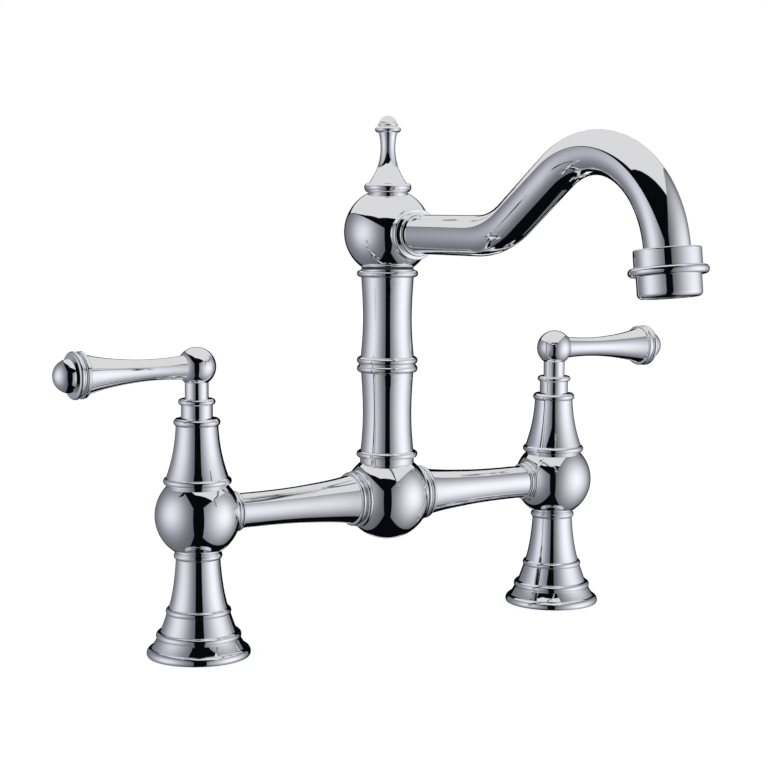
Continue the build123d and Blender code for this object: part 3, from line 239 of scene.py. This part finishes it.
def side_wall(name, wall, lamp, flag):
    """A dark wall round its window, and the lit cloth a way behind it."""
    reach = WALL_REACH
    alongs = (-reach, wall["back"], wall["front"], reach)
    heights = (-reach, wall["bottom"], wall["top"], reach)
    points = [wall_point(wall, wall["distance"], a, h) for a in alongs for h in heights]
    faces = []
    for i in range(3):
        for k in range(3):
            if (i, k) != (1, 1):
                a = i * 4 + k
                faces.append((a, a + 1, a + 5, a + 4))
    studio_piece(mesh_object(name + "_wall", points, faces, smooth=False), flag)
    corners = ((-reach, -reach), (-reach, reach), (reach, reach), (reach, -reach))
    points = [wall_point(wall, LAMP_DISTANCE, a, h) for a, h in corners]
    cloth = mesh_object(name + "_cloth", points, [(0, 1, 2, 3)], smooth=False)
    studio_piece(cloth, lamp_material(name + "_cloth", lamp))


def ceiling_panel():
    """Lit panel over the faucet."""
    towards = direction(0, 0)
    across = direction(90, 0)
    points = []
    for forward, side in CEILING_CORNERS:
        spot = towards * forward + across * side
        points.append((spot.x, spot.y, CEILING_HEIGHT))
    light = plain_light("ceiling_panel", CEILING_COLOUR, CEILING_LIGHT)
    corners = tuple(range(len(points)))
    studio_piece(mesh_object("ceiling_panel", points, [corners], smooth=False), light)


def dark_shell(flag):
    """Dark cloth all round the tent, with an opening at the back that shows the background."""
    low, high = SLOT_ELEVATIONS
    half = SLOT_HALF_WIDTH
    closed = 360 - 2 * half
    turns, lows, highs = SHELL_STEPS_ROUND, SHELL_STEPS_LOW, SHELL_STEPS_HIGH
    azimuths = [-180 + half + closed * i / turns for i in range(turns + 1)]
    azimuths += [180 - half / 2, 180, 180 + half / 2, 180 + half]
    elevations = [-90 + (low + 90) * k / lows for k in range(lows + 1)]
    elevations += [high + (90 - high) * k / highs for k in range(highs + 1)]
    points, faces = [], []
    for azimuth in azimuths:
        for elevation in elevations:
            spot = direction(azimuth, elevation) * SHELL_DISTANCE
            points.append(Vector(LAMP_MIDDLE) + spot)
    rows = len(elevations)
    for i in range(len(azimuths) - 1):
        for k in range(rows - 1):
            if i >= turns and k == lows:
                continue
            a = i * rows + k
            faces.append((a, a + 1, a + rows + 1, a + rows))
    studio_piece(mesh_object("dark_shell", points, faces), flag)


# ---------------------------------------------------------------- floor and background
def seen_directly(tree):
    """1 for rays from the camera, off a mirror or through glass, and 0 for others."""
    path = tree.nodes.new("ShaderNodeLightPath")
    glossy = math_node(tree, "MAXIMUM", path.outputs["Is Glossy Ray"],
                       path.outputs["Is Transmission Ray"])
    return math_node(tree, "MAXIMUM", path.outputs["Is Camera Ray"], glossy)


def make_world():
    """White background, which lights the floor a little less than it shows."""
    world = bpy.data.worlds.new("studio")
    bpy.context.scene.world = world
    world.use_nodes = True
    world.cycles.sampling_method = "NONE"
    tree = world.node_tree
    tree.nodes.clear()
    seen = seen_directly(tree)
    background = node(tree, "ShaderNodeBackground", Color=(1, 1, 1, 1))
    lift = math_node(tree, "MULTIPLY", seen, 1 - AMBIENT_LIGHT)
    tree.links.new(math_node(tree, "ADD", lift, AMBIENT_LIGHT), background.inputs["Strength"])
    output = tree.nodes.new("ShaderNodeOutputWorld")
    tree.links.new(background.outputs[0], output.inputs["Surface"])


def make_floor():
    """White disc that shows the faucet's shadow, and that the metal itself doesn't mirror."""
    points = [(0, 0, 0)]
    for i in range(FLOOR_STEPS):
        turn = 2 * math.pi * i / FLOOR_STEPS
        points.append((FLOOR_RADIUS * math.cos(turn), FLOOR_RADIUS * math.sin(turn), 0))
    faces = [(0, 1 + i, 1 + (i + 1) % FLOOR_STEPS) for i in range(FLOOR_STEPS)]
    floor = mesh_object("floor", points, faces)
    material, tree = new_material("floor")
    own = node(tree, "ShaderNodeEmission", Color=(1, 1, 1, 1))
    tree.links.new(math_node(tree, "MULTIPLY", seen_directly(tree), FLOOR_OWN_LIGHT),
                   own.inputs["Strength"])
    lit = node(tree, "ShaderNodeBsdfDiffuse", Color=(*FLOOR_COLOUR, 1))
    both = tree.nodes.new("ShaderNodeAddShader")
    tree.links.new(own.outputs[0], both.inputs[0])
    tree.links.new(lit.outputs[0], both.inputs[1])
    output = tree.nodes.new("ShaderNodeOutputMaterial")
    tree.links.new(both.outputs[0], output.inputs["Surface"])
    floor.data.materials.append(material)
    floor.visible_glossy = False


# ---------------------------------------------------------------- materials of the faucet
def surface(name, colour, metallic, roughness, spread, grain, bump):
    """Procedural finish: roughness wanders by spread over patches of the grain's size."""
    material, tree = new_material(name)
    shader = node(tree, "ShaderNodeBsdfPrincipled")
    shader.inputs["Base Color"].default_value = (*colour, 1)
    shader.inputs["Metallic"].default_value = metallic
    place = tree.nodes.new("ShaderNodeTexCoord").outputs["Object"]
    noise = node(tree, "ShaderNodeTexNoise", Scale=1 / grain)
    noise.inputs["Detail"].default_value = GRAIN_DETAIL
    noise.inputs["Roughness"].default_value = GRAIN_ROUGHNESS
    tree.links.new(place, noise.inputs["Vector"])
    ramp = tree.nodes.new("ShaderNodeMapRange")
    ramp.inputs["To Min"].default_value = roughness - spread
    ramp.inputs["To Max"].default_value = roughness + spread
    tree.links.new(noise.outputs["Fac"], ramp.inputs["Value"])
    tree.links.new(ramp.outputs["Result"], shader.inputs["Roughness"])
    relief = node(tree, "ShaderNodeBump", Strength=bump, Distance=grain * GRAIN_RELIEF)
    tree.links.new(noise.outputs["Fac"], relief.inputs["Height"])
    tree.links.new(relief.outputs["Normal"], shader.inputs["Normal"])
    output = tree.nodes.new("ShaderNodeOutputMaterial")
    tree.links.new(shader.outputs[0], output.inputs["Surface"])
    return material


# Slot, then name, colour, metallic, roughness and its spread, grain in metres, and bump.
MATERIALS = {
    "chrome": surface("chrome_plate", (0.955, 0.955, 0.965), 1.0, 0.035, 0.012, 0.02, 0.01),
    "brass": surface("machined_brass", (0.80, 0.62, 0.32), 1.0, 0.28, 0.06, 0.003, 0.1),
    "rubber": surface("nitrile_rubber", (0.03, 0.03, 0.033), 0.0, 0.62, 0.08, 0.001, 0.2),
    "ceramic": surface("alumina_ceramic", (0.9, 0.88, 0.84), 0.0, 0.16, 0.04, 0.002, 0.05),
    "steel": surface("stainless_steel", (0.62, 0.62, 0.63), 1.0, 0.24, 0.05, 0.002, 0.1),
    "nylon": surface("dark_acetal", (0.05, 0.05, 0.054), 0.0, 0.42, 0.06, 0.001, 0.12),
    "mesh": surface("grey_plastic", (0.26, 0.27, 0.29), 0.0, 0.45, 0.06, 0.001, 0.12),
}


def dress_nodes():
    """Give each CAD node the finish of its material slot."""
    for subpart in frame["record"]["subparts"]:
        obj = frame["nodes"][subpart["node"]]
        obj.data.materials.clear()
        obj.data.materials.append(MATERIALS[subpart["material_slot"]])


# ---------------------------------------------------------------- the scene
scene = bpy.context.scene
scene.view_settings.view_transform = "Standard"
make_camera()
make_world()
make_floor()
# Dark cloth of the walls and the shell: a faint painted glow, not lit by anything.
flag_cloth = plain_light("flag", FLAG_GLOW_COLOUR, FLAG_LIGHT)
side_wall("left", LEFT_WALL, LEFT_LAMP, flag_cloth)
side_wall("right", RIGHT_WALL, RIGHT_LAMP, flag_cloth)
ceiling_panel()
dark_shell(flag_cloth)
dress_nodes()
